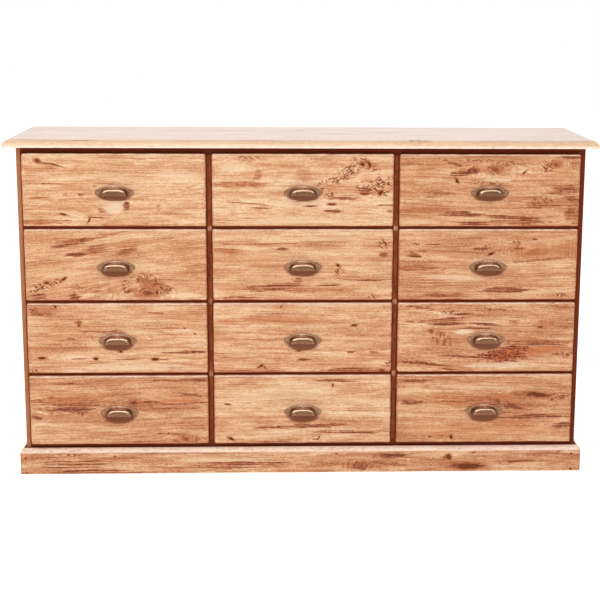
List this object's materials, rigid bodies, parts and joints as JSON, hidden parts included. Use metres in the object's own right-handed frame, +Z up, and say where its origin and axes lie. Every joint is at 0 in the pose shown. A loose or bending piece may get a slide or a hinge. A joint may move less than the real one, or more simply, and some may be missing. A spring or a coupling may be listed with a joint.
{
  "type": "dresser with drawers",
  "caption": "Wide rustic solid-pine chest of drawers with overhanging moulded top, low plinth, overlay drawer fronts and bronze cup pulls; every drawer slides.",
  "frame": {"origin": "on the floor, under the middle of the overall bounding box", "axes": "+Z up; the drawers open towards -Y; +X to the right of a person facing the drawers"},
  "size_m": [1.6, 0.4386, 0.932],
  "materials": {
    "stained_pine": "waxed knotty pine, honey stain, dark wax in the gaps",
    "raw_pine": "unfinished planed pine",
    "back_board": "thin upright pine boards with a groove at each joint, unfinished",
    "aged_brass": "antiqued bronze-brown brass, satin, worn bright on the crown"
  },
  "bodies": {
    "carcass": {"top_panel": "stained_pine", "left_side_panel": "stained_pine", "right_side_panel": "stained_pine", "left_partition": "stained_pine", "right_partition": "stained_pine", "bottom_panel": "stained_pine", "back_panel": "back_board", "top_front_rail": "stained_pine", "top_rear_rail": "raw_pine", "base_front_rail": "raw_pine", "base_rear_rail": "raw_pine", "plinth_front": "stained_pine", "plinth_left": "stained_pine", "plinth_right": "stained_pine", "runner_frame_r1c1": "raw_pine", "runner_frame_r1c2": "raw_pine", "runner_frame_r1c3": "raw_pine", "runner_frame_r2c1": "raw_pine", "runner_frame_r2c2": "raw_pine", "runner_frame_r2c3": "raw_pine", "runner_frame_r3c1": "raw_pine", "runner_frame_r3c2": "raw_pine", "runner_frame_r3c3": "raw_pine"},
    "drawer_r1c1": {"drawer_front_r1c1": "stained_pine", "drawer_tray_r1c1": "raw_pine", "cup_pull_r1c1": "aged_brass"},
    "drawer_r1c2": {"drawer_front_r1c2": "stained_pine", "drawer_tray_r1c2": "raw_pine", "cup_pull_r1c2": "aged_brass"},
    "drawer_r1c3": {"drawer_front_r1c3": "stained_pine", "drawer_tray_r1c3": "raw_pine", "cup_pull_r1c3": "aged_brass"},
    "drawer_r2c1": {"drawer_front_r2c1": "stained_pine", "drawer_tray_r2c1": "raw_pine", "cup_pull_r2c1": "aged_brass"},
    "drawer_r2c2": {"drawer_front_r2c2": "stained_pine", "drawer_tray_r2c2": "raw_pine", "cup_pull_r2c2": "aged_brass"},
    "drawer_r2c3": {"drawer_front_r2c3": "stained_pine", "drawer_tray_r2c3": "raw_pine", "cup_pull_r2c3": "aged_brass"},
    "drawer_r3c1": {"drawer_front_r3c1": "stained_pine", "drawer_tray_r3c1": "raw_pine", "cup_pull_r3c1": "aged_brass"},
    "drawer_r3c2": {"drawer_front_r3c2": "stained_pine", "drawer_tray_r3c2": "raw_pine", "cup_pull_r3c2": "aged_brass"},
    "drawer_r3c3": {"drawer_front_r3c3": "stained_pine", "drawer_tray_r3c3": "raw_pine", "cup_pull_r3c3": "aged_brass"},
    "drawer_r4c1": {"drawer_front_r4c1": "stained_pine", "drawer_tray_r4c1": "raw_pine", "cup_pull_r4c1": "aged_brass"},
    "drawer_r4c2": {"drawer_front_r4c2": "stained_pine", "drawer_tray_r4c2": "raw_pine", "cup_pull_r4c2": "aged_brass"},
    "drawer_r4c3": {"drawer_front_r4c3": "stained_pine", "drawer_tray_r4c3": "raw_pine", "cup_pull_r4c3": "aged_brass"}
  },
  "joints": [
    {"name": "drawer_slide_r1c1", "type": "slide", "parent": "carcass", "child": "drawer_r1c1", "axis": [0, -1, 0], "range_m": [0, 0.3]},
    {"name": "drawer_slide_r1c2", "type": "slide", "parent": "carcass", "child": "drawer_r1c2", "axis": [0, -1, 0], "range_m": [0, 0.3]},
    {"name": "drawer_slide_r1c3", "type": "slide", "parent": "carcass", "child": "drawer_r1c3", "axis": [0, -1, 0], "range_m": [0, 0.3]},
    {"name": "drawer_slide_r2c1", "type": "slide", "parent": "carcass", "child": "drawer_r2c1", "axis": [0, -1, 0], "range_m": [0, 0.3]},
    {"name": "drawer_slide_r2c2", "type": "slide", "parent": "carcass", "child": "drawer_r2c2", "axis": [0, -1, 0], "range_m": [0, 0.3]},
    {"name": "drawer_slide_r2c3", "type": "slide", "parent": "carcass", "child": "drawer_r2c3", "axis": [0, -1, 0], "range_m": [0, 0.3]},
    {"name": "drawer_slide_r3c1", "type": "slide", "parent": "carcass", "child": "drawer_r3c1", "axis": [0, -1, 0], "range_m": [0, 0.3]},
    {"name": "drawer_slide_r3c2", "type": "slide", "parent": "carcass", "child": "drawer_r3c2", "axis": [0, -1, 0], "range_m": [0, 0.3]},
    {"name": "drawer_slide_r3c3", "type": "slide", "parent": "carcass", "child": "drawer_r3c3", "axis": [0, -1, 0], "range_m": [0, 0.3]},
    {"name": "drawer_slide_r4c1", "type": "slide", "parent": "carcass", "child": "drawer_r4c1", "axis": [0, -1, 0], "range_m": [0, 0.3]},
    {"name": "drawer_slide_r4c2", "type": "slide", "parent": "carcass", "child": "drawer_r4c2", "axis": [0, -1, 0], "range_m": [0, 0.3]},
    {"name": "drawer_slide_r4c3", "type": "slide", "parent": "carcass", "child": "drawer_r4c3", "axis": [0, -1, 0], "range_m": [0, 0.3]}
  ]
}
